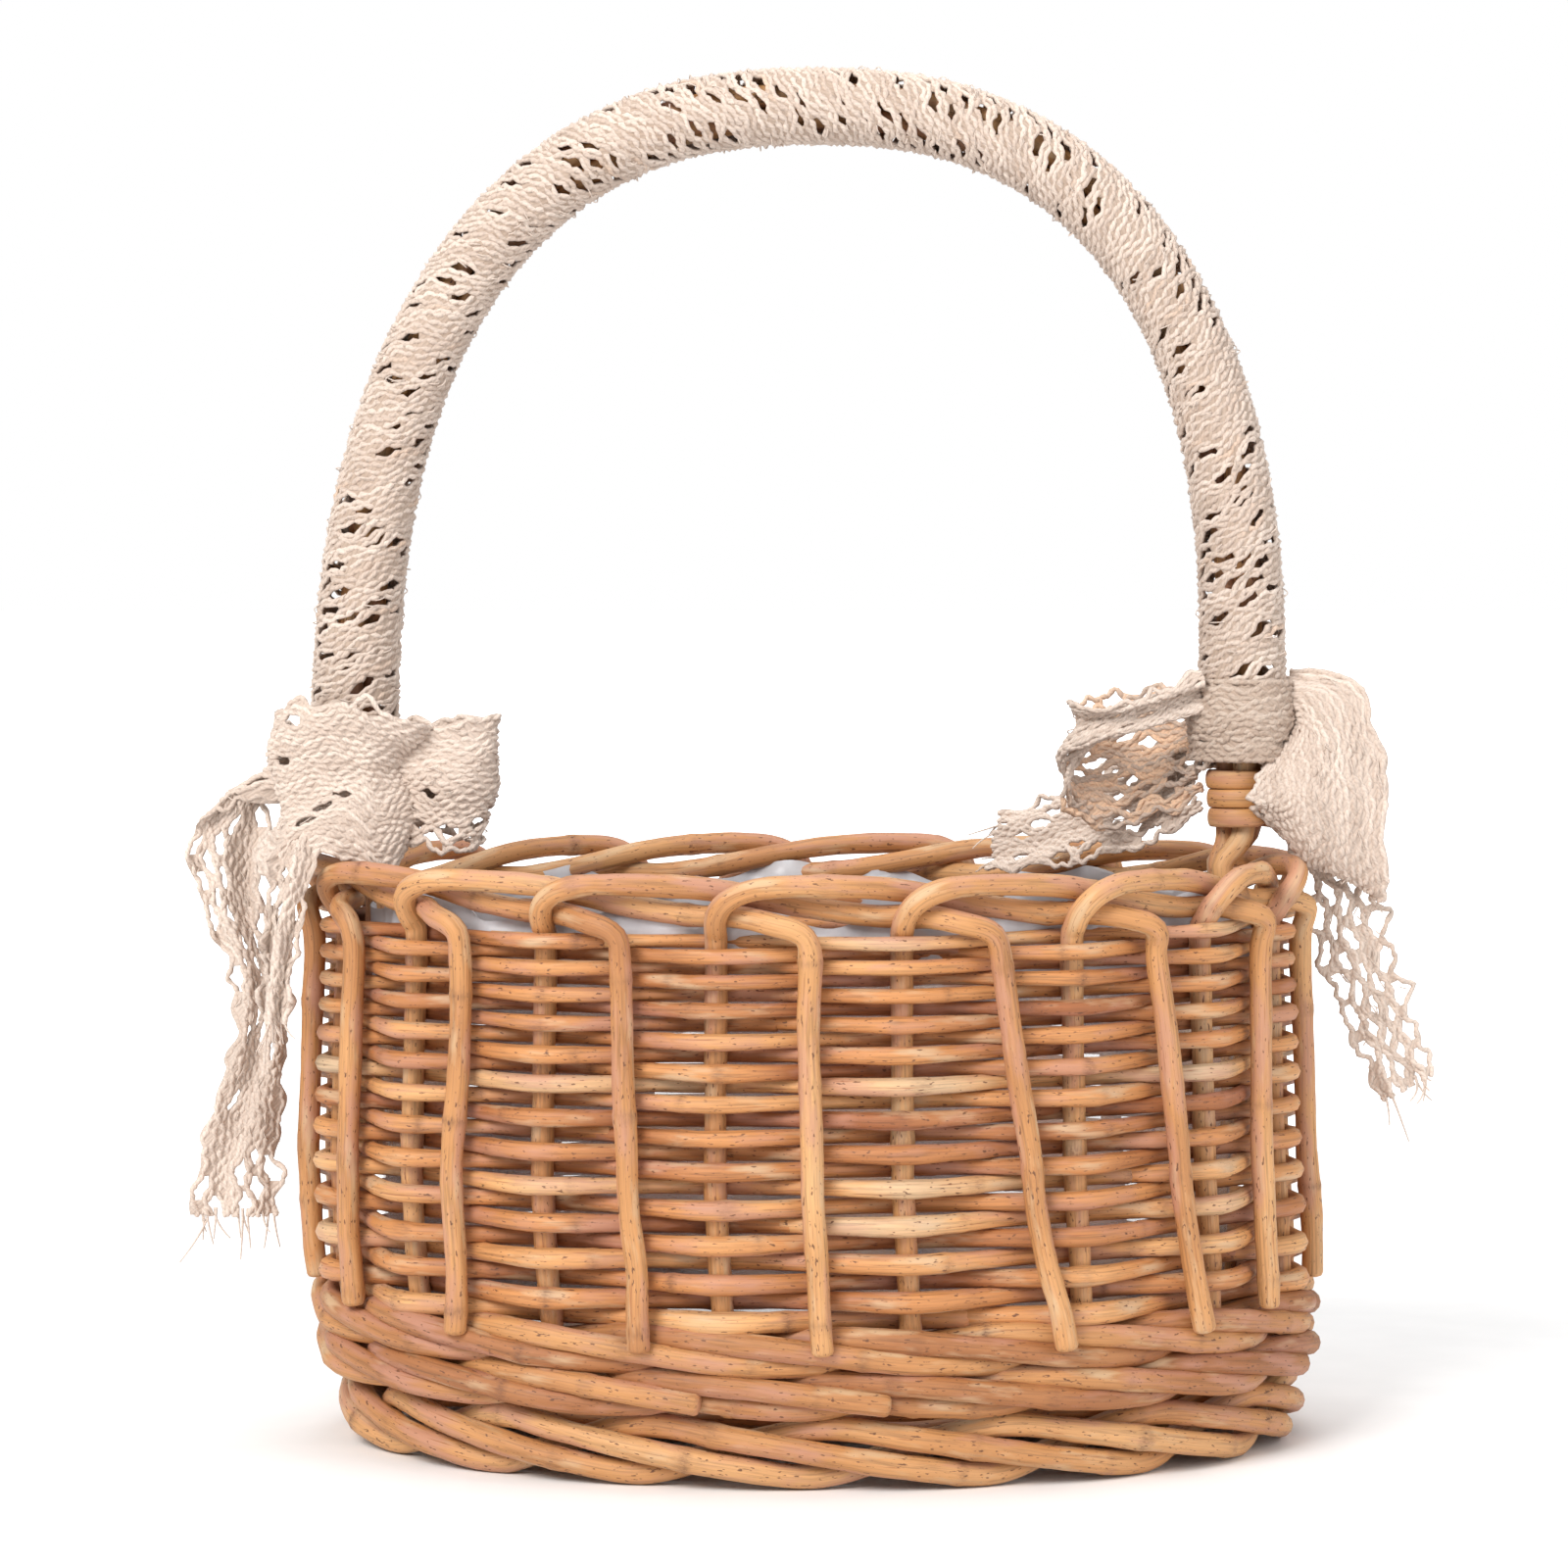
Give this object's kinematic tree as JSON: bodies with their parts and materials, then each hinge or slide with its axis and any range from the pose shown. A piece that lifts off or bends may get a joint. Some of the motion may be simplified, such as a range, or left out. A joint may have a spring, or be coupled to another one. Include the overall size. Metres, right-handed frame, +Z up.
{
  "type": "flower girl basket",
  "caption": "Small oval woven willow basket with a fixed arch handle wrapped in crocheted lace and tied with a lace bow at each foot.",
  "frame": {"origin": "centre of the footprint on the floor", "axes": "+X along the long axis of the oval, to the right as seen from the front; +Y from the front to the back; +Z up the handle"},
  "size_m": [0.256, 0.152, 0.2841],
  "materials": {
    "willow_rod": "peeled buff willow, satin, with knots and bark specks",
    "willow_weaver": "thin peeled willow, satin, colour varies from rod to rod",
    "willow_base": "peeled willow, matt",
    "willow_skein": "split willow skein, smooth and slightly shiny",
    "lace": "ivory cotton crochet lace, soft and matt",
    "liner_film": "thin milky film, slightly creased"
  },
  "bodies": {
    "basket": {"stake_01": "willow_rod", "stake_02": "willow_rod", "stake_03": "willow_rod", "stake_04": "willow_rod", "stake_05": "willow_rod", "stake_06": "willow_rod", "stake_07": "willow_rod", "stake_08": "willow_rod", "stake_09": "willow_rod", "stake_10": "willow_rod", "stake_11": "willow_rod", "stake_12": "willow_rod", "stake_13": "willow_rod", "stake_14": "willow_rod", "stake_15": "willow_rod", "stake_16": "willow_rod", "stake_17": "willow_rod", "side_weaver_01": "willow_weaver", "side_weaver_02": "willow_weaver", "side_weaver_03": "willow_weaver", "side_weaver_04": "willow_weaver", "side_weaver_05": "willow_weaver", "side_weaver_06": "willow_weaver", "side_weaver_07": "willow_weaver", "side_weaver_08": "willow_weaver", "side_weaver_09": "willow_weaver", "side_weaver_10": "willow_weaver", "side_weaver_11": "willow_weaver", "wale_lower_rod_1": "willow_rod", "wale_lower_rod_2": "willow_rod", "wale_lower_rod_3": "willow_rod", "wale_upper_rod_1": "willow_rod", "wale_upper_rod_2": "willow_rod", "wale_upper_rod_3": "willow_rod", "foot_ring": "willow_rod", "foot_strand_1": "willow_rod", "foot_strand_2": "willow_rod", "base_panel": "willow_base", "base_stick_1": "willow_base", "base_stick_2": "willow_base", "base_stick_3": "willow_base", "liner": "liner_film", "handle_rod_1": "willow_rod", "handle_rod_2": "willow_rod", "handle_rod_3": "willow_rod", "handle_lace_wrap": "lace", "handle_binding_left": "willow_skein", "handle_binding_right": "willow_skein", "left_bow_knot": "lace", "left_bow_front_loop": "lace", "left_bow_side_loop": "lace", "right_bow_knot": "lace", "right_bow_inner_loop": "lace", "right_bow_outer_loop": "lace"},
    "left_long_tail": {"left_bow_long_tail": "lace"},
    "left_short_tail": {"left_bow_short_tail": "lace"},
    "right_outer_tail": {"right_bow_outer_tail": "lace"},
    "right_inner_tail": {"right_bow_inner_tail": "lace"}
  },
  "joints": [
    {"name": "left_long_tail_swing", "type": "hinge", "parent": "basket", "child": "left_long_tail", "pos_m": [-0.106, -0.0025, 0.139], "axis": [0, 1, 0], "range_deg": [0, 35]},
    {"name": "left_short_tail_swing", "type": "hinge", "parent": "basket", "child": "left_short_tail", "pos_m": [-0.104, -0.0275, 0.117], "axis": [0, 1, 0], "range_deg": [0, 30]},
    {"name": "right_outer_tail_swing", "type": "hinge", "parent": "basket", "child": "right_outer_tail", "pos_m": [0.116, -0.0005, 0.111], "axis": [0, -1, 0], "range_deg": [-8, 30]},
    {"name": "right_inner_tail_lift", "type": "hinge", "parent": "basket", "child": "right_inner_tail", "pos_m": [0.077, 0.018, 0.132], "axis": [0.6159, 0.7878, 0], "range_deg": [0, 40]}
  ]
}
